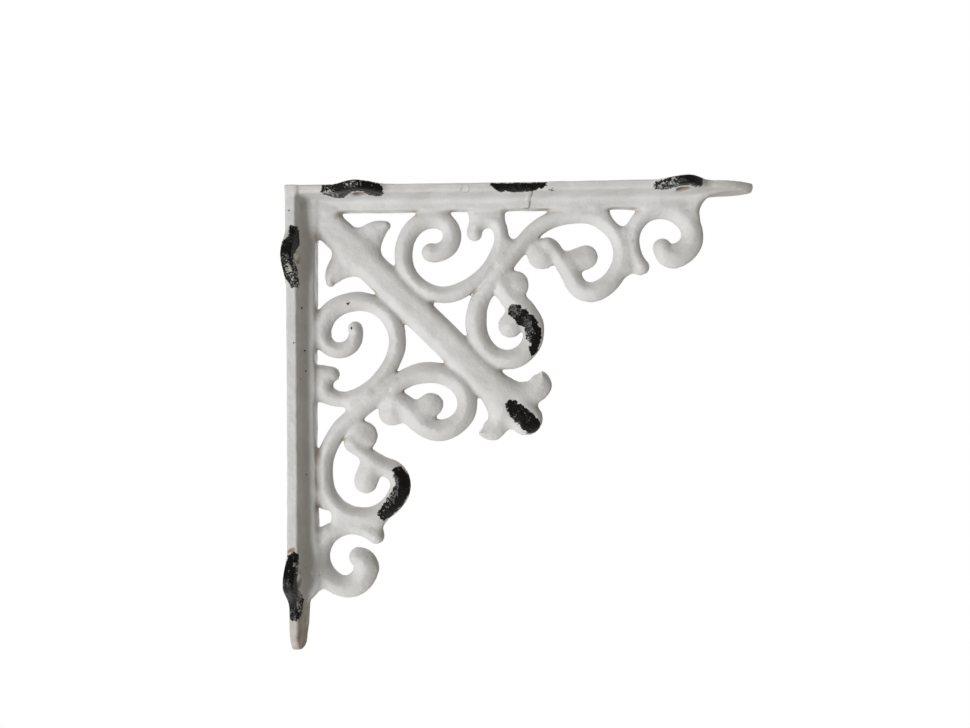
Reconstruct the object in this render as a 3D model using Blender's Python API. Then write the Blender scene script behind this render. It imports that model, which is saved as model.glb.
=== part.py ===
"""Cast shelf bracket: two straps at a right angle, tied by scrollwork and a diagonal bar.

It is one casting, so it is one solid. Plan sizes are millimetres in the middle plane of the
scrollwork: u runs out from the wall face along the shelf strap, v runs down from the shelf face
along the wall strap, and w is the depth, with the rear half the mirror image of the front half.
The wall half mirrors the shelf half across the bar's middle line, apart from a few moulding
differences.
"""
import math

import bmesh
import bpy
from mathutils import Vector

MM = 0.001

# Driving dimensions of the straps
LEG = 230.0                     # each strap, from the outer corner to its tip
SHELF_FACE = 115.0              # height of the shelf face above the mounting point
STRAP_HALF = 12.8               # half the width of a strap
WAIST = 1.0                     # how much narrower a strap is at mid length, each side
SHELF_THICKNESS = (3.9, 5.6)    # of the shelf strap, at its edges and beside the rib
WALL_THICKNESS = (5.6, 7.0)     # the wall strap is cast thicker
ROOT_HALF = 5.0                 # half the width of the full thickness beside the rib
TONGUE_THINNING = 0.3           # share of the thickness that is lost from the last ears to the tip
STRAP_CHAMFER = 0.7
EAR_HALF = 20.0                 # half the width over a pair of screw ears
EAR_SPAN = 15.0                 # from an ear's middle to where it fades into the strap
SHELF_HOLES = (36.2, 193.2)     # screw holes, from the outer corner
WALL_HOLES = (35.0, 192.0)
HOLE_OFFSET = 11.0              # screw holes, from the middle plane
HOLE_RADIUS = 3.1
HOLE_SIDES = 20
HOLE_CUT = 24.0                 # length of the cut, half of it outside the strap
TONGUE_HALF = 10.0              # half the width of the tongue beyond the ears
TONGUE_END_HALF = 1.6
SHELF_TONGUE = (208.0, 0.9)     # where the tongue starts to narrow, and the power of its curve
WALL_TONGUE = (216.0, 0.5)      # the wall strap's tongue is blunter
CORNER_RINGS = 2                # between the outer corner and the first ears
PLAIN_RINGS = 7                 # between the two pairs of ears
EAR_RINGS = 5                   # on each side of an ear's middle
TIP_RINGS = 7

# Rib that stiffens each strap and carries the scrolls
RIB_DEPTH = 11.0                # from the strap's outer face
RIB_HALF = 3.5
RIB_ROOT_DEPTH = 1.9            # inside the strap
RIB_START = 4.3                 # from the outer corner
RIB_END = (200.2, 209.2)        # where the rib starts to slope down, and where it ends
RIB_END_DEPTH = 4.6             # where it runs out into the strap
RIB_BEVEL = 1.2

# Swept members
ROUND = 2.4                     # roundness of a scroll's section, 2 is an ellipse
FLAT = 3.2                      # the bar's section, flatter on its crown
SECTION_SIDES = 8
RING_SPACING = 6.2              # along a member
RING_TURN = 25.5                # most degrees that a member turns between two rings
END_ANGLES = (36.0, 68.0)       # rings that round off a member's end
MITRE = 1.2                     # how far the bar's middle line lies out from the corner's diagonal

# A member is its start point and heading, its half-width there, and runs of
# (length, turn in degrees, half-width at the end). Heading 0 points out from the wall and 90
# points down; a positive turn is clockwise.
BAR = ((12.7, 11.5), 45, 6.5, [(10, 0, 7.8), (27.5, 0, 7.5), (55, 0, 7.8), (54.5, 0, 7.9)])

SHELF_MEMBERS = {
    "corner_leaf": ((35.7, 30.0), -72, 7.8, [(6, 17, 7.0), (6, 17, 4.9), (5.6, 22, 2.2)]),
    "inner_scroll": ((70.0, 31.7), 14, 4.6,
                     [(27, -182, 4.6), (14, -60, 4.5), (53, -151, 4.1), (33.5, -55, 3.5), (8.5, -37, 3.9),
                      (18, -160, 3.9)]),
    "long_scroll_top": ((97.8, 51.1), -55, 4.3,
                        [(33, 6, 4.2), (35, 62, 3.8), (24.6, 72, 4.0), (24.4, 72, 5.0), (14, 89, 4.9),
                         (23, -22, 3.2)]),
    "long_scroll_foot": ((99.6, 48.7), 130, 4.2,
                         [(3, 0, 4.4), (15, -36, 5.2), (15.6, -37, 5.0), (23.8, -100, 4.8), (23.8, -99, 5.6),
                          (15, 20, 5.0)]),
    "end_scroll": ((174.7, 40.0), -128, 4.1,
                   [(11.5, 31, 3.9), (15, 54, 3.9), (28, 106, 5.2), (19.5, 109, 6.2), (8, 84, 4.6)]),
    "foot_leaf": ((104.2, 104.6), 0, 7.2, [(14.4, -14, 6.0), (7, -45, 5.7), (6.4, -45, 1.1)]),
    "top_bud": ((129.0, 30.4), 138, 5.4, [(4.6, 0, 7.3)]),
    "top_ball": ((139.7, 38.0), -22, 6.0, [(8.2, 0, 5.9)]),
    "foot_bud": ((105.7, 48.5), 0, 5.5, [(6, 0, 7.0)]),
    "foot_ball": ((114.8, 62.0), 128, 6.4, [(8.8, 0, 5.9)]),
    "scroll_weld": ((166.5, 23.0), 86, 2.4, [(17.5, 0, 3.2)]),
    "stem_weld": ((108.8, 28.0), 118, 2.4, [(10, 0, 2.4)]),
    "end_web": ((203.4, 6.2), 111, 2.6, [(8.5, 0, 3.0)]),
    "curl_web": ((92.0, 13.0), 0, 3.0, [(12, 0, 2.8)]),
    "rib_web": ((152.5, 12.2), 22, 2.4, [(4.8, 0, 2.2)]),
}

# Moulding differences of the wall half
WALL_MEMBERS = dict(SHELF_MEMBERS)
WALL_MEMBERS.update({
    "inner_scroll": ((71.0, 30.3), 14, 3.6,
                     [(27, -182, 4.3), (14, -60, 4.8), (53, -151, 4.1), (33.5, -55, 3.5), (8.5, -37, 4.2),
                      (15, -134, 3.6)]),
    "long_scroll_foot": ((100.6, 49.2), 130, 4.2,
                         [(3, 0, 4.4), (15, -36, 5.2), (15.6, -37, 5.0), (23.8, -100, 4.8), (23.8, -99, 5.6),
                          (15, 20, 5.0)]),
    "foot_leaf": ((103.6, 104.0), 0, 7.2, [(13.4, -14, 6.0), (6.4, -40, 5.6), (6.4, -45, 1.1)]),
    "top_bud": ((128.2, 30.2), 138, 5.4, [(4.6, 0, 7.3)]),
    "foot_bud": ((106.5, 48.8), 0, 5.5, [(6, 0, 7.0)]),
    "foot_ball": ((114.8, 61.2), 128, 6.4, [(8.8, 0, 5.9)]),
    "scroll_weld": ((166.2, 21.5), 86, 3.6, [(19, 0, 3.6)]),
    "end_web": ((196.5, 12.4), -45, 2.6, [(9, 0, 2.6)]),
    "rib_web": ((153.0, 12.0), 16, 2.6, [(6.6, 0, 2.2)]),
    "foot_web": ((173.4, 12.4), 123, 2.4, [(3.5, 0, 2.4)]),
})

HALF_THICKNESS = {"inner_scroll": 3.7, "long_scroll_top": 3.9, "long_scroll_foot": 4.05, "end_scroll": 3.8,
                  "corner_leaf": 3.3, "foot_leaf": 4.0, "top_bud": 3.6, "top_ball": 3.5, "foot_bud": 3.65,
                  "foot_ball": 3.55, "scroll_weld": 3.0, "stem_weld": 3.1, "end_web": 2.8,
                  "curl_web": 2.5, "rib_web": 2.6, "foot_web": 2.6}
BAR_HALF_THICKNESS = 4.3

PAINT = (0.61, 0.60, 0.565, 1.0)


def to_world(u, v, w):
    """A point of the plan, in metres in the part's own frame."""
    return Vector((u * MM, w * MM, (SHELF_FACE - v) * MM))


def mirrored(point):
    """The wall half's plan point for a shelf half's one, across the bar's middle line."""
    return (point[1] + MITRE, point[0] - MITRE)


def make_object(name, mesh_data, collection=None):
    """Adds a mesh object with its faces turned outwards."""
    bmesh.ops.recalc_face_normals(mesh_data, faces=mesh_data.faces)
    mesh = bpy.data.meshes.new(name)
    mesh_data.to_mesh(mesh)
    mesh_data.free()
    obj = bpy.data.objects.new(name, mesh)
    (collection or bpy.context.scene.collection).objects.link(obj)
    return obj


def skin_rings(rings):
    """A closed tube through rings of points that all have the same count."""
    data = bmesh.new()
    rows = [[data.verts.new(point) for point in ring] for ring in rings]
    count = len(rows[0])
    for near, far in zip(rows, rows[1:]):
        for i in range(count):
            j = (i + 1) % count
            data.faces.new((near[i], near[j], far[j], far[i]))
    data.faces.new(rows[0])
    data.faces.new(rows[-1])
    return data


def member_stations(start, heading, half, runs):
    """Point, heading and half-width at each ring along a member's runs."""
    u, v = start
    angle = math.radians(heading)
    stations = [((u, v), angle, half)]
    for length, turn, end_half in runs:
        steps = max(1, math.ceil(length / RING_SPACING), math.ceil(abs(turn) / RING_TURN))
        bend = math.radians(turn) / steps
        chord = length / steps
        if bend:
            chord *= math.sin(bend / 2) / (bend / 2)
        for step in range(1, steps + 1):
            u += chord * math.cos(angle + bend / 2)
            v += chord * math.sin(angle + bend / 2)
            angle += bend
            stations.append(((u, v), angle, half + (end_half - half) * step / steps))
        half = end_half
    return stations


def with_round_ends(stations):
    """Adds shrinking stations that round off both ends; each station gets its scale."""
    def cap(station, direction):
        (u, v), angle, half = station
        rings = []
        for degrees in END_ANGLES:
            reach = direction * half * math.sin(math.radians(degrees))
            point = (u + reach * math.cos(angle), v + reach * math.sin(angle))
            rings.append((point, angle, half, math.cos(math.radians(degrees))))
        return rings
    body = [(point, angle, half, 1.0) for point, angle, half in stations]
    return cap(stations[0], -1)[::-1] + body + cap(stations[-1], 1)


def rounded(share, roundness):
    """A section's corner point from its cosine or sine: 2 gives an ellipse, more a fuller section."""
    return math.copysign(abs(share) ** (2 / roundness), share)


def sweep_member(name, member, half_thickness, roundness, swap, collection):
    """A rounded bar along a member's path, ends rounded; swap lays it in the wall half."""
    rings = []
    for (u, v), angle, half, scale in with_round_ends(member_stations(*member)):
        ring = []
        for side in range(SECTION_SIDES):
            turn = 2 * math.pi * side / SECTION_SIDES
            across = rounded(math.cos(turn), roundness) * half * scale
            deep = rounded(math.sin(turn), roundness) * half_thickness * scale
            point = (u - across * math.sin(angle), v + across * math.cos(angle))
            ring.append(to_world(*(mirrored(point) if swap else point), deep))
        rings.append(ring)
    return make_object(name, skin_rings(rings), collection)


def strap_half_width(station, holes, tongue):
    """Half the width of a strap at a distance from the outer corner."""
    if station < holes[1]:
        half = STRAP_HALF - WAIST * math.sin(math.pi * station / holes[1]) ** 2
    else:
        narrows_from, power = tongue
        share = max(0.0, (station - narrows_from) / (LEG - narrows_from))
        half = TONGUE_END_HALF + (TONGUE_HALF - TONGUE_END_HALF) * (1 - share ** 2) ** power
    for hole in holes:
        away = abs(station - hole)
        if away < EAR_SPAN:
            lift = (1 + math.cos(math.pi * away / EAR_SPAN)) / 2
            half += (EAR_HALF - half) * lift
    return half


def strap_stations(holes):
    """Distances from the corner where a strap needs a ring: close together at ears and tip."""
    first_ear = holes[0] - EAR_SPAN
    plain = (holes[0] + EAR_SPAN, holes[1] - EAR_SPAN)
    tip = holes[1] + EAR_SPAN
    stations = [first_ear * k / (CORNER_RINGS + 1) for k in range(1, CORNER_RINGS + 1)]
    stations += [plain[0] + (plain[1] - plain[0]) * k / (PLAIN_RINGS + 1) for k in range(1, PLAIN_RINGS + 1)]
    for hole in holes:
        stations += [hole + EAR_SPAN * k / EAR_RINGS for k in range(-EAR_RINGS, EAR_RINGS + 1)]
    stations += [tip + (LEG - tip) * math.sin(math.pi / 2 * k / TIP_RINGS) for k in range(1, TIP_RINGS + 1)]
    return sorted(stations)


def strap_section(station, half, holes, thickness):
    """Depth from the outer face and w, around a strap's section."""
    thin = 1 - TONGUE_THINNING * max(0.0, (station - holes[1]) / (LEG - holes[1]))
    edge, middle = (size * thin for size in thickness)
    c = STRAP_CHAMFER
    side = [(0.0, half - c), (c, half), (edge - c, half), (edge, half - c)]
    root = min(ROOT_HALF, half / 2)
    return side + [(middle, root), (middle, -root)] + [(d, -w) for d, w in reversed(side)]


def strap_sections(holes, tongue, thickness):
    """A strap's sections, each with its distance from the outer corner."""
    sections = []
    for station in strap_stations(holes):
        half = strap_half_width(station, holes, tongue)
        sections.append((station, strap_section(station, half, holes, thickness)))
    return sections


def make_straps(name):
    """Both straps as one folded strip, from the wall tip over the corner to the shelf tip."""
    rings = []
    for s, section in reversed(strap_sections(WALL_HOLES, WALL_TONGUE, WALL_THICKNESS)):
        rings.append([to_world(d, s, w) for d, w in section])
    wall_side = strap_section(0, STRAP_HALF, WALL_HOLES, WALL_THICKNESS)
    shelf_side = strap_section(0, STRAP_HALF, SHELF_HOLES, SHELF_THICKNESS)
    rings.append([to_world(u, v, w) for (u, w), (v, _) in zip(wall_side, shelf_side)])
    for s, section in strap_sections(SHELF_HOLES, SHELF_TONGUE, SHELF_THICKNESS):
        rings.append([to_world(s, d, w) for d, w in section])
    return make_object(name, skin_rings(rings))


def make_rib(name, swap, collection):
    """The rib along one strap: a plate on edge that slopes down near the tip."""
    outline = [(RIB_START, RIB_ROOT_DEPTH), (RIB_END[1], RIB_ROOT_DEPTH), (RIB_END[1], RIB_END_DEPTH),
               (RIB_END[0], RIB_DEPTH), (RIB_START, RIB_DEPTH)]
    data = bmesh.new()
    near = [data.verts.new(to_world(*(mirrored(p) if swap else p), -RIB_HALF)) for p in outline]
    base = data.faces.new(near)
    grown = bmesh.ops.extrude_face_region(data, geom=[base])
    moved = [item for item in grown["geom"] if isinstance(item, bmesh.types.BMVert)]
    bmesh.ops.translate(data, verts=moved, vec=Vector((0, 2 * RIB_HALF * MM, 0)))
    rib = make_object(name, data, collection)
    bevel = rib.modifiers.new("edge", "BEVEL")
    bevel.width = RIB_BEVEL * MM
    bevel.segments = 1
    bevel.limit_method = "ANGLE"
    bevel.angle_limit = math.radians(60)
    return rib


def make_hole_cutters(collection):
    """One plain cylinder for each screw hole, longer than a strap is thick."""
    shelf_places = [((station, 0.0), (0, 0, 0)) for station in SHELF_HOLES]
    wall_places = [((0.0, station), (0, math.pi / 2, 0)) for station in WALL_HOLES]
    for plan, turn in shelf_places + wall_places:
        for side in (-1, 1):
            data = bmesh.new()
            bmesh.ops.create_cone(data, cap_ends=True, segments=HOLE_SIDES, radius1=HOLE_RADIUS * MM,
                                  radius2=HOLE_RADIUS * MM, depth=HOLE_CUT * MM)
            cutter = make_object("screw_hole", data, collection)
            cutter.location = to_world(*plan, side * HOLE_OFFSET)
            cutter.rotation_euler = turn


def hidden_collection(name):
    """A collection for what is joined to or cut from the casting."""
    collection = bpy.data.collections.new(name)
    bpy.context.scene.collection.children.link(collection)
    return collection


def add_boolean(obj, name, operation, collection):
    """An exact Boolean with every object of a collection."""
    modifier = obj.modifiers.new(name, "BOOLEAN")
    modifier.operation = operation
    modifier.operand_type = "COLLECTION"
    modifier.collection = collection
    modifier.solver = "EXACT"
    for other in collection.objects:
        other.hide_render = True
        other.display_type = "WIRE"


def paint_material():
    """Off-white paint over cast iron."""
    material = bpy.data.materials.new("off_white_paint")
    material.use_nodes = True
    shader = material.node_tree.nodes["Principled BSDF"]
    shader.inputs["Base Color"].default_value = PAINT
    shader.inputs["Roughness"].default_value = 0.45
    shader.inputs["Metallic"].default_value = 0.0
    return material


def build():
    """The whole bracket."""
    for obj in list(bpy.data.objects):
        bpy.data.objects.remove(obj, do_unlink=True)
    joined = hidden_collection("joined_members")
    cut = hidden_collection("screw_holes")
    bracket = make_straps("bracket")
    for swap, members in ((False, SHELF_MEMBERS), (True, WALL_MEMBERS)):
        half = "wall" if swap else "shelf"
        make_rib("%s_rib" % half, swap, joined)
        for name, member in members.items():
            sweep_member("%s_%s" % (half, name), member, HALF_THICKNESS[name], ROUND, swap, joined)
    sweep_member("diagonal_bar", BAR, BAR_HALF_THICKNESS, FLAT, False, joined)
    make_hole_cutters(cut)
    add_boolean(bracket, "join", "UNION", joined)
    add_boolean(bracket, "drill", "DIFFERENCE", cut)
    bracket.data.materials.append(paint_material())
    bracket.data.shade_smooth()
    bracket.data.set_sharp_from_angle(angle=math.radians(40))


build()
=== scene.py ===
"""Cast iron scroll bracket in chipped off-white paint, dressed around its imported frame."""
import math

import bpy
import numpy as np
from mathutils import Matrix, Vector


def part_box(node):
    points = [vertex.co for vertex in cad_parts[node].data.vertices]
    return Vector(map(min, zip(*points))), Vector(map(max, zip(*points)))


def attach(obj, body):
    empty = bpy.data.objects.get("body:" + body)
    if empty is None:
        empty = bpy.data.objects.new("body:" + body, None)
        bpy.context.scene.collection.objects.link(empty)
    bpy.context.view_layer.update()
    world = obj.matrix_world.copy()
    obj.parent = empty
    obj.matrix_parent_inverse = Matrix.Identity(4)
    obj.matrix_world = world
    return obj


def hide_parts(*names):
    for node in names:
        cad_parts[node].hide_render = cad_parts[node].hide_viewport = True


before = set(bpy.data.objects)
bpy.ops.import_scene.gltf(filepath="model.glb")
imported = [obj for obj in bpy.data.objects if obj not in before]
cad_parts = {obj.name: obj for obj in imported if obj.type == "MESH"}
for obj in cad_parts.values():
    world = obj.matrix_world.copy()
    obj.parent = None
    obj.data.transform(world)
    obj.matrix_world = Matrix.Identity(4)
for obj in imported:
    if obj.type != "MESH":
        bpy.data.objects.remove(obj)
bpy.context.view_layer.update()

# Straps
# Two flat bars of grey iron, cast in one with all that lies between them and set at a right angle.
# Each has two pairs of screw ears and a tongue at its end, and its outer face stays flat.
MM = 0.001
LOW, HIGH = (np.array(corner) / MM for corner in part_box("bracket"))     # sizes are in millimetres
LEG = HIGH[0] - LOW[0]
HALF_WIDTH = HIGH[1]    # over a pair of ears
STRAP_HALF = 12.8       # half a strap's width
WAIST = 1.0             # how much narrower each side is halfway
EAR_SPAN = 15.0         # from a hole to where its ear has run out
ROOT_HALF = 5.0         # half the width of the full thickness beside the rib
TONGUE_HALF = 10.0
TONGUE_END_HALF = 1.6
TONGUE_THINNING = 0.3
STRAP_ROUNDING = 1.2    # of the paint-filled edges
OUTLINE_STEP = 0.25     # over which the outline's slope is taken
SHELF_STRAP = {"holes": (36.2, 193.2), "tongue": (208.0, 0.9), "thickness": (3.9, 5.6), "rib": (3.5, 0.0)}
WALL_STRAP = {"holes": (35.0, 192.0), "tongue": (216.0, 0.5), "thickness": (5.3, 6.2), "rib": (4.3, 1.1)}


def smooth_min(a, b, blend):
    """The lesser of two fields, filleted where they differ by less than blend: with
    h = max(0, 1 - |a - b| / blend), the lesser less blend h^2 / 4."""
    h = np.maximum(1 - np.abs(a - b) / blend, 0)
    return np.minimum(a, b) - blend * h * h / 4


def smooth_max(a, b, blend):
    """The greater of two fields, with its edge rounded in the same way."""
    return -smooth_min(-a, -b, blend)


def strap_half_width(station, strap):
    """Half a strap's width at a distance from the corner: a sine waist, a raised cosine at each
    pair of ears, and the tongue's (1 - share^2)^power."""
    holes = strap["holes"]
    narrows_from, power = strap["tongue"]
    share = np.clip((station - narrows_from) / (LEG - narrows_from), 0, 1)
    tongue = TONGUE_END_HALF + (TONGUE_HALF - TONGUE_END_HALF) * (1 - share ** 2) ** power
    body = STRAP_HALF - WAIST * np.sin(np.pi * np.clip(station / holes[1], 0, 1)) ** 2
    half = np.where(station < holes[1], body, tongue)
    for hole in holes:
        lift = (1 + np.cos(np.pi * np.clip((station - hole) / EAR_SPAN, -1, 1))) / 2
        half = half + (HALF_WIDTH - half) * lift
    return half


def strap_field(station, depth, w, strap):
    """Distance outside a strap: its outline across, over the outline's slope, and a thickness that
    swells to the middle. Depth is in from the outer face, and w across."""
    wing = np.abs(w)
    half = strap_half_width(station, strap)
    ahead, behind = (strap_half_width(station + step, strap) for step in (OUTLINE_STEP, -OUTLINE_STEP))
    slope = (ahead - behind) / (2 * OUTLINE_STEP)
    side = np.maximum((wing - half) / np.hypot(1, slope), station - LEG)
    last = strap["holes"][1]
    thin = 1 - TONGUE_THINNING * np.clip((station - last) / (LEG - last), 0, 1)
    edge, middle = strap["thickness"]
    swell = np.clip((half - wing) / np.maximum(half - ROOT_HALF, 1), 0, 1)
    return smooth_max(side, depth - (edge + (middle - edge) * swell) * thin, STRAP_ROUNDING)


# Ribs
# A flange of the same iron, cast on each strap's inner side to stiffen it, from the corner to just
# short of the tongue, where it slopes out. A wide fillet runs along its root. A strap's "rib" is
# half its rib's thickness, and how much shallower the rib is halfway along.
RIB_DEPTH = 11.0        # from the strap's outer face
RIB_SLOPE = ((200.2, 11.0), (209.2, 4.6))
RIB_WAIST_FROM = 20.0
RIB_WAIST_LENGTH = 180.0
RIB_ROUNDING = 1.3
RIB_FILLET = 3.0
RIB_START = 3.0         # from the outer corner
RIB_ROOT = 2.0          # how deep in the strap it starts


def rib_field(station, depth, w, strap):
    """Distance outside a rib: a plate cut off by its depth, less a sine for the shallower middle,
    and by the slope at its end."""
    (start, high), (end, low) = RIB_SLOPE
    half, waist = strap["rib"]
    run, fall = end - start, high - low
    sloped = ((station - start) * fall + (depth - high) * run) / math.hypot(run, fall)
    shallower = waist * np.sin(np.pi * np.clip((station - RIB_WAIST_FROM) / RIB_WAIST_LENGTH, 0, 1))
    top = smooth_max(depth + shallower - RIB_DEPTH, sloped, RIB_ROUNDING)
    plate = smooth_max(np.abs(w) - half, top, RIB_ROUNDING)
    return np.maximum(plate, np.maximum(RIB_START - station, RIB_ROOT - depth))


# Diagonal bar
# The cast iron brace out from the corner, flat in front and behind, with sides drafted to leave
# the mould. It is a member: a start and its heading, a half-width there, and runs of (length, turn
# in degrees, half-width at the end), where 0 degrees points out from the wall and 90 down.
BAR = ((12.7, 11.5), 45, 6.5, [(10, 0, 7.8), (27.5, 0, 7.5), (55, 0, 7.8), (54.5, 0, 7.9)])
BAR_HALF_THICKNESS = 4.3
BAR_GIRTH = BAR_HALF_THICKNESS / 3      # how far from the middle plane its half-widths are taken
BAR_SIDE_SLOPE = 0.42   # how fast the bar narrows towards its front face
BAR_EDGE = 3.8
PATH_STEP = 1.5


def member_path(member):
    """Points and half-widths along a member. Where a run turns by k in each millimetre, the point
    at s is its start plus s sinc(k s / 2) along the heading plus k s / 2."""
    (u, v), heading, half, runs = member
    angle = math.radians(heading)
    points, halves = [np.array([[u, v]])], [np.array([half])]
    for length, turn, end_half in runs:
        bend = math.radians(turn) / length
        s = np.linspace(0, length, math.ceil(length / PATH_STEP) + 1)[1:]
        chord = s * np.sinc(bend * s / 2 / np.pi)
        along = angle + bend * s / 2
        start = points[-1][-1]
        points.append(start + chord[:, None] * np.column_stack([np.cos(along), np.sin(along)]))
        halves.append(half + (end_half - half) * s / length)
        angle, half = angle + bend * length, end_half
    return np.concatenate(points), np.concatenate(halves)


def nearest_disc(u, v, points, halves):
    """Of the discs that slide along a path, the one that a point lies in the deepest for its size:
    how far the point is from that disc's middle, and its radius."""
    starts, legs = points[:-1], np.diff(points, axis=0)
    du, dv = u - starts[:, 0], v - starts[:, 1]
    share = np.clip((du * legs[:, 0] + dv * legs[:, 1]) / (legs ** 2).sum(1), 0, 1)
    away = np.hypot(du - share * legs[:, 0], dv - share * legs[:, 1])
    radius = halves[:-1] + share * np.diff(halves)
    pick = np.argmin(away / radius, axis=1)[:, None]
    return np.take_along_axis(away, pick, 1), np.take_along_axis(radius, pick, 1)


def bar_field(u, v, w):
    """Distance outside the bar: two flat faces, and sides that slope in towards them."""
    away, radius = nearest_disc(u, v, *member_path(BAR))
    side = away - radius + BAR_SIDE_SLOPE * (np.abs(w) - BAR_GIRTH)
    return smooth_max(np.abs(w) - BAR_HALF_THICKNESS, side / math.hypot(1, BAR_SIDE_SLOPE), BAR_EDGE)


# Scrolls, leaves and buds
# Cast members with chamfered fronts fill each side of the bar: two scrolls and an end scroll with
# buds on them, leaves at both ends of the bar, and webs where they run into a rib. The wall half
# is laid out as the shelf half and mirrored across the bar, but its moulding differs a little.
MITRE = 1.2             # how far the bar's middle line lies out from the corner's diagonal
SHELF_MEMBERS = {
    "corner_leaf": ((35.7, 30.0), -72, 7.8, [(6, 17, 7.0), (6, 17, 4.9), (5.6, 22, 2.2)]),
    "inner_scroll": ((70.0, 31.7), 14, 4.6,
                     [(27, -182, 4.6), (14, -60, 4.5), (53, -151, 4.1), (33.5, -55, 3.5), (8.5, -37, 3.9),
                      (18, -160, 3.9)]),
    "long_scroll_top": ((97.8, 51.1), -55, 4.3,
                        [(33, 6, 4.2), (35, 62, 3.8), (24.6, 72, 4.0), (24.4, 72, 5.0), (14, 89, 4.9),
                         (23, -22, 3.2)]),
    "long_scroll_foot": ((99.6, 48.7), 130, 4.2,
                         [(3, 0, 4.4), (15, -36, 5.2), (15.6, -37, 5.0), (23.8, -100, 4.8), (23.8, -99, 5.6),
                          (15, 20, 5.0)]),
    "end_scroll": ((174.7, 40.0), -128, 4.1,
                   [(11.5, 31, 3.9), (15, 54, 3.9), (28, 106, 5.2), (19.5, 109, 6.2), (8, 84, 4.6)]),
    "foot_leaf": ((104.2, 104.6), 0, 7.2, [(14.4, -14, 6.0), (7, -45, 5.7), (6.4, -45, 1.1)]),
    "top_bud": ((129.0, 30.4), 138, 5.4, [(4.6, 0, 7.3)]),
    "top_ball": ((139.7, 38.0), -22, 6.0, [(8.2, 0, 5.9)]),
    "foot_bud": ((105.7, 48.5), 0, 5.5, [(6, 0, 7.0)]),
    "foot_ball": ((114.8, 62.0), 128, 6.4, [(8.8, 0, 5.9)]),
    "scroll_weld": ((166.5, 23.0), 86, 2.4, [(17.5, 0, 3.2)]),
    "stem_weld": ((108.8, 28.0), 118, 2.4, [(10, 0, 2.4)]),
    "end_web": ((203.4, 6.2), 111, 2.6, [(8.5, 0, 3.0)]),
    "curl_web": ((92.0, 13.0), 0, 3.0, [(12, 0, 2.8)]),
    "rib_web": ((152.5, 12.2), 22, 2.4, [(4.8, 0, 2.2)]),
}
WALL_MEMBERS = dict(SHELF_MEMBERS)
WALL_MEMBERS.update({
    "inner_scroll": ((71.0, 30.3), 14, 3.6,
                     [(27, -182, 4.3), (14, -60, 4.8), (53, -151, 4.1), (33.5, -55, 3.5), (8.5, -37, 4.2),
                      (15, -134, 3.6)]),
    "long_scroll_foot": ((100.6, 49.2), 130, 4.2,
                         [(3, 0, 4.4), (15, -36, 5.2), (15.6, -37, 5.0), (23.8, -100, 4.8), (23.8, -99, 5.6),
                          (15, 20, 5.0)]),
    "foot_leaf": ((103.6, 104.0), 0, 6.9, [(13.4, -14, 5.6), (6.4, -40, 5.2), (6.4, -45, 1.1)]),
    "top_bud": ((128.2, 30.2), 138, 5.4, [(4.6, 0, 7.3)]),
    "foot_bud": ((106.5, 48.8), 0, 5.5, [(6, 0, 7.0)]),
    "foot_ball": ((114.8, 61.2), 128, 6.4, [(8.8, 0, 5.9)]),
    "scroll_weld": ((166.2, 21.5), 86, 3.6, [(19, 0, 3.6)]),
    "end_web": ((196.5, 12.4), -45, 2.6, [(9, 0, 2.6)]),
    "rib_web": ((153.0, 12.0), 16, 2.6, [(6.6, 0, 2.2)]),
    "foot_web": ((173.4, 12.4), 123, 2.4, [(3.5, 0, 2.4)]),
})
HALF_THICKNESS = {"inner_scroll": 3.7, "long_scroll_top": 3.9, "long_scroll_foot": 4.05, "end_scroll": 3.8,
                  "corner_leaf": 3.3, "foot_leaf": 4.0, "top_bud": 3.6, "top_ball": 3.5, "foot_bud": 3.65,
                  "foot_ball": 3.55, "scroll_weld": 3.0, "stem_weld": 3.1, "end_web": 2.8,
                  "curl_web": 2.5, "rib_web": 2.6, "foot_web": 2.6}
CHAMFER = 1.26          # how far out a member's chamfer lies, 1 is a diamond and 2 a full square
CHAMFER_ROUNDING = 1.5
MEMBER_COAT = 0.3       # what the rounding takes off and the paint makes good
LEAF_FILLET = 3.6       # where the bar spreads into its leaves, and along webs
SCROLL_FILLET = 2.0     # between scrolls and along the bar, where a groove stays
FAR = 60.0


def member_field(u, v, w, member, thickness):
    """Distance outside a member: a flat bar whose chamfers lie where across / half-width plus
    |w| / thickness is CHAMFER, with its edges rounded."""
    points, halves = member_path(member)
    reach = halves.max() + 2 * LEAF_FILLET
    low, high = points.min(0) - reach, points.max(0) + reach
    field = np.full(w.shape, FAR)
    near = ((u > low[0]) & (u < high[0]) & (v > low[1]) & (v < high[1]))[:, 0]
    if near.any():
        away, radius = nearest_disc(u[near], v[near], points, halves)
        wing = np.abs(w[near])
        chamfer = (away / radius + wing / thickness - CHAMFER) / np.hypot(1 / radius, 1 / thickness)
        flat = smooth_max(away - radius, wing - thickness, CHAMFER_ROUNDING)
        field[near] = smooth_max(flat, chamfer, CHAMFER_ROUNDING) - MEMBER_COAT
    return field


def tracery_field(u, v, w):
    """Distance outside the bar with its leaves, buds and scrolls: each joins what it grows from
    with its own fillet, and the two scrolls that cross keep a sharp groove."""
    field = bar_field(u, v, w)
    for side_u, side_v, members in ((u, v, SHELF_MEMBERS), (v + MITRE, u - MITRE, WALL_MEMBERS)):
        scrolls = np.full(w.shape, FAR)
        for name, member in members.items():
            one = member_field(side_u, side_v, w, member, HALF_THICKNESS[name])
            if name == "long_scroll_foot":
                scrolls = np.minimum(scrolls, one)
            elif name.endswith("leaf") or name in ("foot_bud", "foot_ball", "foot_web"):
                field = smooth_min(field, one, LEAF_FILLET)
            elif name.endswith(("weld", "web")):
                scrolls = smooth_min(scrolls, one, LEAF_FILLET)
            else:
                scrolls = smooth_min(scrolls, one, SCROLL_FILLET)
        field = smooth_min(field, scrolls, SCROLL_FILLET)
    return field


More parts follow.
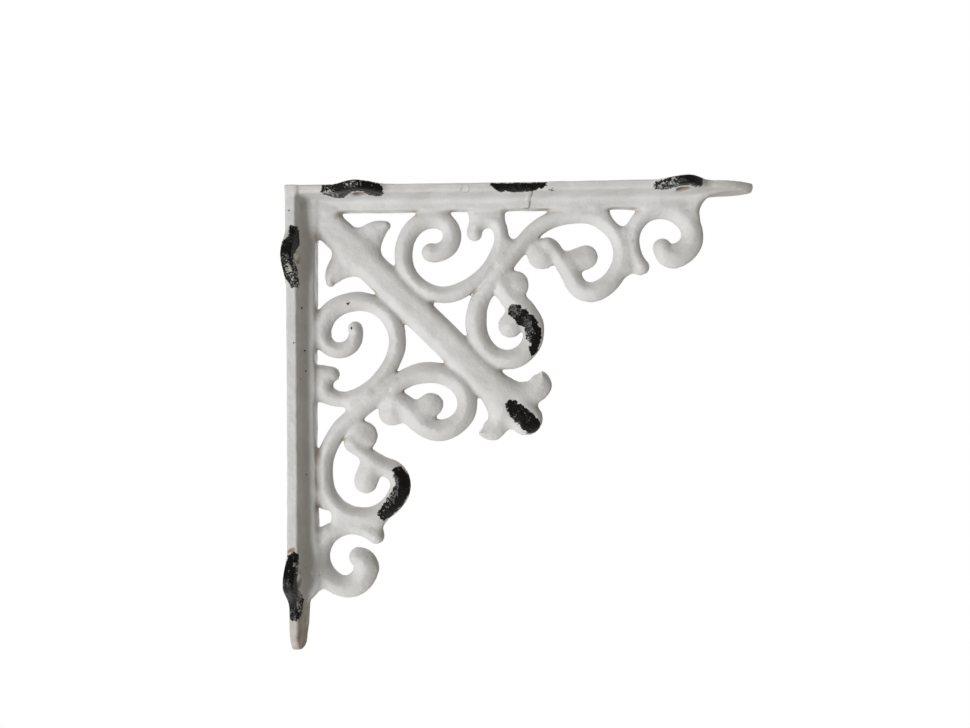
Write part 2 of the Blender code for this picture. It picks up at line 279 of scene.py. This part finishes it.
# Whole casting
# Straps, ribs and tracery are one sand casting, hand-finished and a little uneven, with a plain
# hole in each ear that the paint softens. Its skin is laid over the fields of all of them.
FRAME_FILLET = 3.4      # between the tracery and the straps
CORNER_FILLET = 2.4     # between the two straps
HOLE_OFFSET = 11.0
HOLE_RADIUS = 3.1
HOLE_ROUNDING = 0.9
FACE_ROUNDING = 0.45    # of the edges beside the outer faces
UNEVENNESS = 0.05       # height of one wave of the uneven surface
WAVE_LENGTHS = 2 * (9.0, 14.0, 22.0, 31.0)      # two waves of each
WAVE_SEED = 7
SKIN_STEP = 1.1         # spacing of the skin's points
SKIN_MARGIN = 3.0
SLOPE_STEP = 0.05       # over which the field's slope is taken
SETTLING = 0.6          # how far a point may move at a time onto the surface, times the slope
LEAST_SLOPE = 0.5


def unevenness(u, v, w):
    """Sum of plane waves sin(2 pi (direction . point) / length + phase), at seeded directions."""
    chance = np.random.default_rng(WAVE_SEED)
    total = np.zeros(w.shape)
    for length in WAVE_LENGTHS:
        direction = chance.normal(size=3)
        direction *= 2 * np.pi / length / np.linalg.norm(direction)
        phase = chance.uniform(0, 2 * np.pi)
        total += np.sin(direction[0] * u + direction[1] * v + direction[2] * w + phase)
    return UNEVENNESS * total


def casting_field(u, v, w):
    """Distance outside the casting, less than 0 in the metal, at columns of points: u and v hold
    one value in a row, and w one or more."""
    w = np.broadcast_to(w, (len(u), w.shape[1]))
    straps = np.full(w.shape, FAR)
    for station, depth, rib_station, rib_depth, strap in ((u, v, u, v, SHELF_STRAP),
                                                          (v, u, v + MITRE, u - MITRE, WALL_STRAP)):
        rib = rib_field(rib_station, rib_depth, w, strap)
        ribbed = smooth_min(strap_field(station, depth, w, strap), rib, RIB_FILLET)
        straps = smooth_min(straps, ribbed, CORNER_FILLET)
    field = smooth_min(tracery_field(u, v, w), straps, FRAME_FILLET) + unevenness(u, v, w)
    for station, depth, strap in ((u, v, SHELF_STRAP), (v, u, WALL_STRAP)):
        for hole in strap["holes"]:
            bore = HOLE_RADIUS - np.hypot(station - hole, np.abs(w) - HOLE_OFFSET)
            field = smooth_max(field, np.minimum(bore, EAR_SPAN - depth), HOLE_ROUNDING)
    for face in (u, v):
        field = smooth_max(field, -face, FACE_ROUNDING)
    return field


def surface_net(field, corner, step):
    """A skin over a grid of field values: a point in each cell that the surface passes through,
    at the mean of the crossings on the cell's edges, and a quad around each crossed edge."""
    inside = field < 0
    cells = np.array(field.shape) - 1
    total = np.zeros((*cells, 3))
    count = np.zeros(cells)
    crossings = []
    for axis in range(3):
        others = [other for other in range(3) if other != axis]
        near = np.moveaxis(field, axis, 0)[:-1]
        far = np.moveaxis(field, axis, 0)[1:]
        crossed = np.moveaxis(np.diff(inside.astype(np.int8), axis=axis), axis, 0)
        found = np.nonzero(crossed)
        spot = np.empty((len(found[0]), 3))
        spot[:, axis] = found[0] + near[found] / (near[found] - far[found])
        spot[:, others[0]], spot[:, others[1]] = found[1], found[2]
        index = np.empty((len(spot), 3), int)
        index[:, axis], index[:, others[0]], index[:, others[1]] = found
        rings = []
        for first, second in ((0, 0), (1, 0), (1, 1), (0, 1)):
            cell = index.copy()
            cell[:, others[0]] -= first
            cell[:, others[1]] -= second
            np.add.at(total, tuple(cell.T), spot)
            np.add.at(count, tuple(cell.T), 1)
            rings.append(cell)
        turned = (crossed[found] > 0) != (axis == 1)
        crossings.append((rings, turned))
    used = count > 0
    number = np.full(cells, -1)
    number[used] = np.arange(used.sum())
    quads = []
    for rings, turned in crossings:
        quad = np.column_stack([number[tuple(cell.T)] for cell in rings])
        quad[turned] = quad[turned][:, ::-1]
        quads.append(quad)
    return corner + step * total[used] / count[used][:, None], np.concatenate(quads)


def field_at(points):
    """The casting's field at a list of points, one to a row."""
    return casting_field(*(points[:, axis:axis + 1] for axis in range(3)))[:, 0]


def field_slope(points, here):
    """The field's slope at points, from its change over a short step along each axis."""
    return np.column_stack([(field_at(points + SLOPE_STEP * step) - here) / SLOPE_STEP for step in np.eye(3)])


def settled(points):
    """Points moved onto the surface, by the field over its slope, along the slope."""
    here = field_at(points)
    slope = field_slope(points, here)
    steep = np.maximum((slope ** 2).sum(1), LEAST_SLOPE ** 2)
    return points - slope * np.clip(here / steep, -SETTLING, SETTLING)[:, None]


def place(points):
    """Plan points in the bracket's own frame, in metres: out from the wall, across, and down by v
    from its top."""
    return np.column_stack([points[:, 0], points[:, 2], HIGH[2] - points[:, 1]]) * MM


across = np.arange(-SKIN_MARGIN, LEG + SKIN_MARGIN, SKIN_STEP)
through = np.arange(-HALF_WIDTH - SKIN_MARGIN, HALF_WIDTH + SKIN_MARGIN, SKIN_STEP)
columns = np.stack(np.meshgrid(across, across, indexing="ij"), -1).reshape(-1, 2)
values = casting_field(columns[:, :1], columns[:, 1:], through[None]).reshape(len(across), len(across), -1)
skin, quads = surface_net(values, np.array([across[0], across[0], through[0]]), SKIN_STEP)
skin = np.clip(settled(settled(skin)), [0, 0, -HALF_WIDTH], [LEG, LEG, HALF_WIDTH])
outward = field_slope(skin, field_at(skin))
outward /= np.maximum(np.linalg.norm(outward, axis=1), 1e-6)[:, None]

mesh = bpy.data.meshes.new("painted_casting")
mesh.from_pydata(place(skin), [], quads)
mesh.polygons.foreach_set("use_smooth", np.ones(len(quads), bool))
mesh.normals_split_custom_set_from_vertices(np.column_stack([outward[:, 0], outward[:, 2], -outward[:, 1]]))
casting = bpy.data.objects.new("painted_casting", mesh)
bpy.context.scene.collection.objects.link(casting)
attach(casting, "root")
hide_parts("bracket")

# Chips
# The paint has broken away from the ears, the shelf's edge, two scrolls and the bud at the bar's
# foot, down to black iron. Each chip is a row of rounds: (station, depth, distance in from the
# strap's edge, radius) along an edge, (u, v, radius) in front and (u, v, w, radius) elsewhere.
SHELF_EDGE_CHIPS = (
    [(20.6, 2.5, 1, 3.0), (25, 4, 3, 4.4), (30, 3, 1, 3.8), (36, 2, 0, 3.8), (41, 2.6, 1, 3.8),
     (44.4, 4, 3, 4.2)],
    [(101, 0.8, 0, 1.2), (105, 2.4, 0, 2.3), (112, 3, 0.3, 2.7), (119, 2.6, 0.2, 2.3), (126, 1.2, 0, 1.6)],
    [(128.8, 4.2, 0.3, 0.7), (130.2, 4.0, 0.3, 0.7)],
    [(181, 3, 1, 2.2), (184.5, 3, 1.5, 3.0), (190, 2.4, 0.5, 3.2), (196, 2.2, 0.5, 3.4), (200, 2.5, 1, 2.4)],
)
WALL_EDGE_CHIPS = (
    [(23, 4.5, 2, 3.2), (26.5, 5.5, 3, 4.2), (32, 3, 0.5, 3.8), (38, 2.5, 0, 3.6), (43, 3.5, 1, 4.0),
     (48, 4, 1.5, 2.6)],
    [(50.5, 4, 2, 0.9), (51.2, 4, 2, 0.9)],
    [(181, 3, 1, 2.6), (185, 3, 1, 4.0), (192, 3, 0.5, 4.6), (199, 3, 0.5, 4.6), (205, 3.5, 1, 4.4),
     (209, 3, 1, 3.6)],
)
FRONT_CHIPS = (
    [(112.0, 61.7, 3.6), (114.7, 64.1, 4.2), (119.0, 68.1, 3.6), (121.1, 72.9, 3.9), (121.2, 77.8, 2.9),
     (120.9, 78.2, 2.2), (120.4, 81.8, 2.4)],
    [(109.6, 108.8, 4.0), (113.4, 112.7, 4.6), (117.1, 116.0, 4.8), (119.6, 118.6, 4.6)],
    [(52.6, 141.0, 2.8), (55.6, 145.5, 4.0), (55.1, 150.1, 4.4), (52.0, 155.1, 4.3), (48.8, 159.0, 4.0),
     (46.0, 161.9, 3.4)],
)
REAR_CHIPS = (
    [(64, 2.5, 12, 1.6), (71, 3, 12, 2.6), (78, 2, 12, 1.8)],
    [(3, 186, 17.5, 3.0), (3, 193, 19, 4.0), (3, 199, 16, 3.0)],
    [(188, 3, 18, 3.0), (194, 3, 19, 3.6)],
    [(60, 60, 4.5, 2.2), (65, 65.5, 4.5, 3.0), (68, 69, 4.5, 1.8)],
    [(146, 57, 3.5, 3.0), (152, 56.5, 3.5, 3.4)],
)
# Rounds where the bare iron shows more primer flecks, which also stand in as painted glints, laid out as the
# chips are.
WORN_SHELF_EDGES = (
    [(20.5, 3, 1, 2.6), (24, 4.5, 3, 2.6)],
    [(31, 2, 0, 1.6), (38, 1.5, 0, 1.6)],
    [(180, 3, 1, 3.0), (187, 3, 1.5, 3.2)],
)
WORN_WALL_EDGES = (
    [(39, 4, 1, 3.0), (48, 4, 1.5, 3.4)],
    [(184, 6, 1, 2.2), (207, 6, 1, 2.4)],
)
WORN_FRONTS = (
    [(117.6, 73, 1.2), (118.6, 79, 1.4)],
    [(51, 149, 1.2), (48, 156, 1.2)],
    [(114, 115, 1.5), (115, 116, 1.5)],
)
FRONT_DEPTH = 2.6       # how far in front of the middle plane the front chips lie


def stroke_distance(points, stroke):
    """Distance outside a row of rounds, each joined to the next by a tapered run."""
    middles, radii = stroke[:, :3], stroke[:, 3]
    legs = np.diff(middles, axis=0)
    from_start = points[:, None] - middles[:-1]
    share = np.clip((from_start * legs).sum(2) / (legs ** 2).sum(1), 0, 1)
    away = np.linalg.norm(from_start - share[:, :, None] * legs, axis=2)
    return (away - radii[:-1] - share * np.diff(radii)).min(1)


def nearest_stroke(points, shelf_edge=(), wall_edge=(), front=(), anywhere=()):
    """Distance outside the nearest of a set of rows of rounds, each turned into (u, v, w, radius)."""
    strokes = [np.array(rounds, float) for rounds in anywhere]
    for rounds in shelf_edge:
        station, depth, inset, radius = np.array(rounds, float).T
        w = inset - strap_half_width(station, SHELF_STRAP)
        strokes.append(np.column_stack([station, depth, w, radius]))
    for rounds in wall_edge:
        station, depth, inset, radius = np.array(rounds, float).T
        w = inset - strap_half_width(station, WALL_STRAP)
        strokes.append(np.column_stack([depth, station, w, radius]))
    for rounds in front:
        u, v, radius = np.array(rounds, float).T
        strokes.append(np.column_stack([u, v, np.full(u.shape, -FRONT_DEPTH), radius]))
    return np.min([stroke_distance(points, stroke) for stroke in strokes], axis=0)


def add_values(name, kind, values):
    """Gives the casting's mesh one number or one vector for each point, for its material to read."""
    held = mesh.attributes.new(name, kind, "POINT").data
    held.foreach_set("value" if kind == "FLOAT" else "vector", values.astype(np.float32).ravel())


bare = nearest_stroke(skin, SHELF_EDGE_CHIPS, WALL_EDGE_CHIPS, FRONT_CHIPS, REAR_CHIPS)
worn = nearest_stroke(skin, WORN_SHELF_EDGES, WORN_WALL_EDGES, WORN_FRONTS)
add_values("bare", "FLOAT", bare)
add_values("worn", "FLOAT", np.clip(-worn, -1, 1))

# Pinholes, rust, drip and dent
# Gas blew small holes in the casting, which stay dark under the paint. Iron bleeds through above
# the lower ear, a run of paint hangs from the shelf's edge, and a tool left a ring in it.
PINHOLES = np.array([   # u, v, w and radius
    (2.2, 12.5, -12.6, 0.36), (3.8, 76.9, -11.9, 0.36), (12.5, 5.1, -4.5, 0.34), (6.0, 59.5, -6.6, 0.62),
    (7.0, 80.6, -4.9, 0.42), (7.3, 90.7, -4.7, 0.4), (5.9, 94.5, -7.6, 0.4), (7.2, 142.1, -4.7, 0.34),
    (27.7, 56.9, -3.6, 0.3), (28.4, 57.5, -3.6, 0.48), (29.1, 56.7, -3.6, 0.42), (29.8, 69.4, -3.5, 0.72),
    (6.2, 66, 8, 0.5), (60, 4.5, 8, 0.45), (92, 97, 4.3, 0.5), (150, 45, 3.6, 0.4),
])
RUST = ([(1.0, 178.2, -12.0, 1.3), (3.2, 177.2, -12.0, 1.4)],)
DRIP = ([(119.6, 3.2, -11.8, 1.2), (119.1, 6.0, -6.5, 1.3), (118.4, 8.0, -4.2, 1.4),
         (117.6, 9.4, -3.6, 1.9)],)
DENT = (87.6, 2.9, -11.9)

mouths = settled(settled(settled(PINHOLES[:, :3])))
from_mouths = skin[:, None] - mouths
nearest = np.argmin(np.linalg.norm(from_mouths, axis=2), axis=1)
from_nearest = from_mouths[np.arange(len(skin)), nearest]
add_values("from_pinhole", "FLOAT_VECTOR", from_nearest / PINHOLES[nearest, 3:])
add_values("from_dent", "FLOAT_VECTOR", skin - DENT)
add_values("rust", "FLOAT", nearest_stroke(skin, anywhere=RUST))
add_values("drip", "FLOAT", nearest_stroke(skin, anywhere=DRIP))

# Grime and painted shade
# Brown painted shade, with some dirt, in the corners and creases where less light reaches, on the wall
# strap's inner face, which faces away from the softbox, and in the screw holes; dust and hand grease
# on the tongues. A corner shows by how much metal lies just outside a point of the skin.
RECESS_REACH = 2.4
RECESS_RANGE = (0.35, 0.85)
WALL_FACE_STAIN_AND_SHADE = 0.34
WALL_FACE_DEPTH = 9.0
SHELF_TONGUE = (200.0, 8.0, 0.25)       # where its grime starts, how far it builds up, and how much
WALL_TONGUE = (204.0, 6.0, 0.72)
HOLE_EDGE = 0.4

# Painted shade, with some dirt, in corners and creases: darker where more metal lies just outside the skin
# and less light reaches.
recess = 1 - field_at(skin + RECESS_REACH * outward) / RECESS_REACH
grime_and_shade = np.clip((recess - RECESS_RANGE[0]) / (RECESS_RANGE[1] - RECESS_RANGE[0]), 0, 1)
# Painted shade, with a brown stain, on the wall strap's inner face, which faces away from the softbox.
grime_and_shade += WALL_FACE_STAIN_AND_SHADE * np.clip(outward[:, 0], 0, 1) * (skin[:, 0] < WALL_FACE_DEPTH)
for station, depth, strap, (start, length, amount) in ((skin[:, 0], skin[:, 1], SHELF_STRAP, SHELF_TONGUE),
                                                       (skin[:, 1], skin[:, 0], WALL_STRAP, WALL_TONGUE)):
    grime_and_shade += amount * np.clip((station - start) / length, 0, 1)
    for hole in strap["holes"]:
        away = np.hypot(station - hole, np.abs(skin[:, 2]) - HOLE_OFFSET)
        in_hole = np.clip((HOLE_RADIUS + HOLE_EDGE - away) / HOLE_EDGE, 0, 1)
        # Painted shade on the walls of the screw holes.
        grime_and_shade += in_hole * (depth < strap["thickness"][1])
add_values("grime_and_shade", "FLOAT", np.clip(grime_and_shade, 0, 1))

# Paint
# Satin off-white house paint over bitumen-black cast iron. It was brushed on thickly, so it blurs the
# sand casting's grain without hiding it, and its chips show glossy black with primer flecks, which also
# stand in as painted glints. Brown painted shade, with some dirt, darkens the corners, the screw holes
# and the wall strap's inner face.
OFF_WHITE = "#D9DADB"
OFF_WHITE_SHADE = "#D1D1D1"
# A brown for sand dirt and dust, and for painted shade in corners, screw holes and on the wall strap's inner
# face.
GRIME_AND_SHADE = "#887048"
RUST_BROWN = "#8E6A5C"
PINHOLE_DARK = "#1E1B19"
BLACK_IRON = "#0B0B0C"
# Pale grey of primer flecks on the bare iron, which also stand in as painted glints.
PRIMER_AND_GLINT = "#AAA9A6"
PATTERNS = {            # size of a feature in millimetres, detail and roughness
    "ragged": (2.0, 4.0, 0.65),     # flakes along a chip's edge
    "fleck": (1.3, 4.0, 0.7),       # primer left on the iron, and painted glints
    "cloud": (18.0, 2.0, 0.5),      # uneven coats
    "dust": (6.0, 3.0, 0.5),        # patches in the dirt and painted shade
    "grain": (0.9, 2.0, 0.6),       # moulding sand, drawn coarser than its 0.3 mm so that it shows
    "lump": (3.2, 3.0, 0.5),        # brushed paint
    "iron": (1.8, 2.0, 0.5),        # scabs on the bare iron
}
PAINT_GLOSS = 0.3
PAINT_ROUGHNESS = 0.5
IRON_ROUGHNESS = 0.22
RAGGEDNESS = 5.0        # how far the ragged pattern shifts an edge, with all distances in millimetres
RUST_RAGGEDNESS = 0.4   # shares of it
MOUTH_RAGGEDNESS = 0.25
DENT_RAGGEDNESS = 0.35
CHIP_EDGE = (-0.12, 0.12, 1, 0)         # where a smooth step starts and ends, and what it gives there
FLECK_LEVEL = (-0.8, 0.8, 0.65, 0.505)  # lower where the iron is worn, which shows more primer flecks and painted glints
FLECK_EDGE = (0, 0.03, 0, 1)
CLOUD_EDGE = (0.35, 0.65, 0, 1)
SAND_DIRT = (0.5, 0.75, 0, 0.05)
DUST = (0.25, 0.7, 0.34, 0.71)
RUST_EDGE = (-0.4, 0.2, 0.85, 0)
MOUTH_EDGE = (0.75, 1.15, 1, 0)         # in radii of the pinhole
DRIP_EDGE = (-0.6, 0.6, 1, 0)
DENT_RISE = (1.2, 2.0, 0, 1)
DENT_FALL = (2.0, 2.7, 1, 0)
PAINT_THICKNESS = 0.25
LUMP_HEIGHT = 0.42
GRAIN_HEIGHT = 0.085
IRON_HEIGHT = 0.55
FLECK_HEIGHT = 0.12
PINHOLE_DEPTH = 0.3
DRIP_HEIGHT = 0.8
DENT_HEIGHT = 0.3
MATH, RANGE, MIX = "ShaderNodeMath", "ShaderNodeMapRange", "ShaderNodeMix"
RANGE_INPUTS = ("Value", "From Min", "From Max", "To Min", "To Max")
STEP = {"interpolation_type": "SMOOTHSTEP"}
SHARE, UNDER, OVER, MIXED = 0, 6, 7, 2  # a Mix node's sockets for colours


def linear(code):
    """An sRGB hex value as linear colour."""
    parts = [int(code[i:i + 2], 16) / 255 for i in (1, 3, 5)]
    return [c / 12.92 if c <= 0.04045 else ((c + 0.055) / 1.055) ** 2.4 for c in parts] + [1.0]


def add_node(tree, kind, output, inputs, **settings):
    """Adds a node with its settings, gives each input a value or a link, and returns an output."""
    node = tree.nodes.new(kind)
    for name, value in settings.items():
        setattr(node, name, value)
    for name, value in dict(inputs).items():
        if isinstance(value, bpy.types.NodeSocket):
            tree.links.new(value, node.inputs[name])
        else:
            node.inputs[name].default_value = value
    return node.outputs[output]


paint = bpy.data.materials.new("satin_off_white_paint_on_cast_iron")
paint.use_nodes = True
tree = paint.node_tree
shader = tree.nodes["Principled BSDF"]
shader.inputs["Specular IOR Level"].default_value = PAINT_GLOSS
spot = add_node(tree, "ShaderNodeTexCoord", "Object", {})
noise = {name: add_node(tree, "ShaderNodeTexNoise", "Fac", {"Vector": spot, "Scale": 1 / (size * MM),
                                                            "Detail": detail, "Roughness": roughness})
         for name, (size, detail, roughness) in PATTERNS.items()}
marks = {name: add_node(tree, "ShaderNodeAttribute", "Fac", {}, attribute_name=name)
         for name in ("bare", "worn", "grime_and_shade", "rust", "drip")}
offsets = {name: add_node(tree, "ShaderNodeAttribute", "Vector", {}, attribute_name=name)
           for name in ("from_pinhole", "from_dent")}
lengths = {name: add_node(tree, "ShaderNodeVectorMath", "Value", {0: offset}, operation="LENGTH")
           for name, offset in offsets.items()}

# Where the paint is gone, and where primer flecks and painted glints show on the iron
ragged = add_node(tree, MATH, 0, {0: noise["ragged"], 1: RAGGEDNESS, 2: -RAGGEDNESS / 2},
                  operation="MULTIPLY_ADD")
chip_edge = add_node(tree, MATH, 0, {0: marks["bare"], 1: ragged}, operation="ADD")
iron_shows = add_node(tree, RANGE, 0, zip(RANGE_INPUTS, (chip_edge, *CHIP_EDGE)), **STEP)
fleck_level = add_node(tree, RANGE, 0, zip(RANGE_INPUTS, (marks["worn"], *FLECK_LEVEL)), **STEP)
over_level = add_node(tree, MATH, 0, {0: noise["fleck"], 1: fleck_level}, operation="SUBTRACT")
flecks_and_glints = add_node(tree, RANGE, 0, zip(RANGE_INPUTS, (over_level, *FLECK_EDGE)), **STEP)

# Colour: coats of paint, then dirt and painted shade, rust and pinholes on it, then the iron with its primer
# flecks and painted glints
coat_cloud = add_node(tree, RANGE, 0, zip(RANGE_INPUTS, (noise["cloud"], *CLOUD_EDGE)), **STEP)
sand_dirt = add_node(tree, RANGE, 0, zip(RANGE_INPUTS, (noise["grain"], *SAND_DIRT)), **STEP)
dust = add_node(tree, RANGE, 0, zip(RANGE_INPUTS, (noise["dust"], *DUST)), **STEP)
# Painted shade and dirt, broken into patches.
dirt_and_shade = add_node(tree, MATH, 0, {0: marks["grime_and_shade"], 1: dust}, operation="MULTIPLY")
rust_edge = add_node(tree, MATH, 0, {0: ragged, 1: RUST_RAGGEDNESS, 2: marks["rust"]},
                     operation="MULTIPLY_ADD")
rust = add_node(tree, RANGE, 0, zip(RANGE_INPUTS, (rust_edge, *RUST_EDGE)), **STEP)
mouth_edge = add_node(tree, MATH, 0, {0: ragged, 1: MOUTH_RAGGEDNESS, 2: lengths["from_pinhole"]},
                      operation="MULTIPLY_ADD")
pinhole = add_node(tree, RANGE, 0, zip(RANGE_INPUTS, (mouth_edge, *MOUTH_EDGE)), **STEP)
iron = add_node(tree, MIX, MIXED, {SHARE: flecks_and_glints, UNDER: linear(BLACK_IRON), OVER: linear(PRIMER_AND_GLINT)},
                data_type="RGBA")
colour = linear(OFF_WHITE_SHADE)
for share, layer in ((coat_cloud, linear(OFF_WHITE)), (sand_dirt, linear(GRIME_AND_SHADE)), (dirt_and_shade, linear(GRIME_AND_SHADE)),
                     (rust, linear(RUST_BROWN)), (pinhole, linear(PINHOLE_DARK)), (iron_shows, iron)):
    colour = add_node(tree, MIX, MIXED, {SHARE: share, UNDER: colour, OVER: layer}, data_type="RGBA")
tree.links.new(colour, shader.inputs["Base Color"])
roughness = add_node(tree, RANGE, 0, zip(RANGE_INPUTS, (iron_shows, 0, 1, PAINT_ROUGHNESS, IRON_ROUGHNESS)))
tree.links.new(roughness, shader.inputs["Roughness"])

# Relief: brushed paint over sand-cast iron, with the chips' hollows, the run and the ring
scabs = add_node(tree, MATH, 0, {0: noise["iron"], 1: iron_shows}, operation="MULTIPLY")
# Primer flecks and painted glints stand a little proud on the bare iron.
glints_and_flecks_on_iron = add_node(tree, MATH, 0, {0: flecks_and_glints, 1: iron_shows}, operation="MULTIPLY")
drip = add_node(tree, RANGE, 0, zip(RANGE_INPUTS, (marks["drip"], *DRIP_EDGE)), **STEP)
dent_away = add_node(tree, MATH, 0, {0: ragged, 1: DENT_RAGGEDNESS, 2: lengths["from_dent"]},
                     operation="MULTIPLY_ADD")
dent_rise = add_node(tree, RANGE, 0, zip(RANGE_INPUTS, (dent_away, *DENT_RISE)), **STEP)
dent_fall = add_node(tree, RANGE, 0, zip(RANGE_INPUTS, (dent_away, *DENT_FALL)), **STEP)
dent = add_node(tree, MATH, 0, {0: dent_rise, 1: dent_fall}, operation="MULTIPLY")
dent = add_node(tree, MATH, 0, {0: dent, 1: coat_cloud}, operation="MULTIPLY")
relief = 0.0
for form, height in ((noise["lump"], LUMP_HEIGHT), (noise["grain"], GRAIN_HEIGHT), (scabs, IRON_HEIGHT),
                     (iron_shows, -PAINT_THICKNESS), (glints_and_flecks_on_iron, FLECK_HEIGHT), (pinhole, -PINHOLE_DEPTH),
                     (drip, DRIP_HEIGHT), (dent, DENT_HEIGHT)):
    relief = add_node(tree, MATH, 0, {0: form, 1: height, 2: relief}, operation="MULTIPLY_ADD")
bump = add_node(tree, "ShaderNodeBump", "Normal", {"Strength": 1.0, "Distance": MM, "Height": relief})
tree.links.new(bump, shader.inputs["Normal"])
casting.data.materials.append(paint)

# Floor
# A plain sheet of matt white plaster board, laid well below the bracket, which hangs clear of it.
# It is out of the camera's view, and sends some light back to the undersides.
FLOOR_REACH = 2.0       # metres, as are the sizes below
FLOOR_HEIGHT = -1.5
PALE_PLASTER = "#F4F4F3"
PLASTER_ROUGHNESS = 0.9

floor_mesh = bpy.data.meshes.new("floor")
floor_mesh.from_pydata([(x * FLOOR_REACH, y * FLOOR_REACH, FLOOR_HEIGHT)
                        for x, y in ((-1, -1), (1, -1), (1, 1), (-1, 1))], [], [(0, 1, 2, 3)])
# Plaster is fine and porous, so it scatters all its light, without a shine.
plaster = bpy.data.materials.new("matt_white_plaster")
plaster.use_nodes = True
board = plaster.node_tree.nodes["Principled BSDF"]
board.inputs["Base Color"].default_value = linear(PALE_PLASTER)
board.inputs["Roughness"].default_value = PLASTER_ROUGHNESS
floor_mesh.materials.append(plaster)
floor = bpy.data.objects.new("floor", floor_mesh)
bpy.context.scene.collection.objects.link(floor)

# Studio light
# A round softbox in front, to the left and a little below, and two more, behind and above, for the
# rear faces and the top. A pale, slightly warm room is around them, and the backdrop is white.
SOFTBOXES = {"softbox": ((-1.50, -1.88, -0.42), 47.5), "rear_softbox": ((-0.2, 2.4, 0.4), 42.0),
             "top_softbox": ((0.3, 1.1, 2.2), 24.0)}
SOFTBOX_SIZE = 1.6
AIM = (0.1, 0, 0)       # about the bracket's middle
ROOM_LIGHT = "#FFF7E9"
ROOM_STRENGTH = 0.245
BACKDROP = "#FFFFFF"

scene = bpy.context.scene
scene.view_settings.view_transform = "Standard"
world = bpy.data.worlds.new("studio")
scene.world = world
world.use_nodes = True
sky = world.node_tree
seen = add_node(sky, "ShaderNodeLightPath", "Is Camera Ray", {})
room = add_node(sky, "ShaderNodeBackground", 0, {"Color": linear(ROOM_LIGHT), "Strength": ROOM_STRENGTH})
backdrop = add_node(sky, "ShaderNodeBackground", 0, {"Color": linear(BACKDROP), "Strength": 1.0})
both = add_node(sky, "ShaderNodeMixShader", 0, {0: seen, 1: room, 2: backdrop})
sky.links.new(both, sky.nodes["World Output"].inputs["Surface"])
for name, (stand, energy) in SOFTBOXES.items():
    lamp = bpy.data.lights.new(name, "AREA")
    lamp.shape = "DISK"
    lamp.size = SOFTBOX_SIZE
    lamp.energy = energy
    softbox = bpy.data.objects.new(name, lamp)
    softbox.location = stand
    softbox.rotation_euler = (Vector(AIM) - softbox.location).to_track_quat("-Z", "Y").to_euler()
    scene.collection.objects.link(softbox)

# Camera
# A near, wide view from the front, held almost level. It stands a third of a metre away at the
# height of the upper scrolls, so that both straps show their inner faces.
CAMERA_PLACE = (0.1043, -0.3260, 0.0245)
CAMERA_TURN = (90.446, 0.506, 1.372)    # degrees
SENSOR_WIDTH = 36.0
FOCAL_LENGTH = 24.124

lens = bpy.data.cameras.new("camera")
lens.sensor_width = SENSOR_WIDTH
lens.lens = FOCAL_LENGTH
camera = bpy.data.objects.new("camera", lens)
camera.location = CAMERA_PLACE
camera.rotation_euler = [math.radians(angle) for angle in CAMERA_TURN]
scene.collection.objects.link(camera)
scene.camera = camera
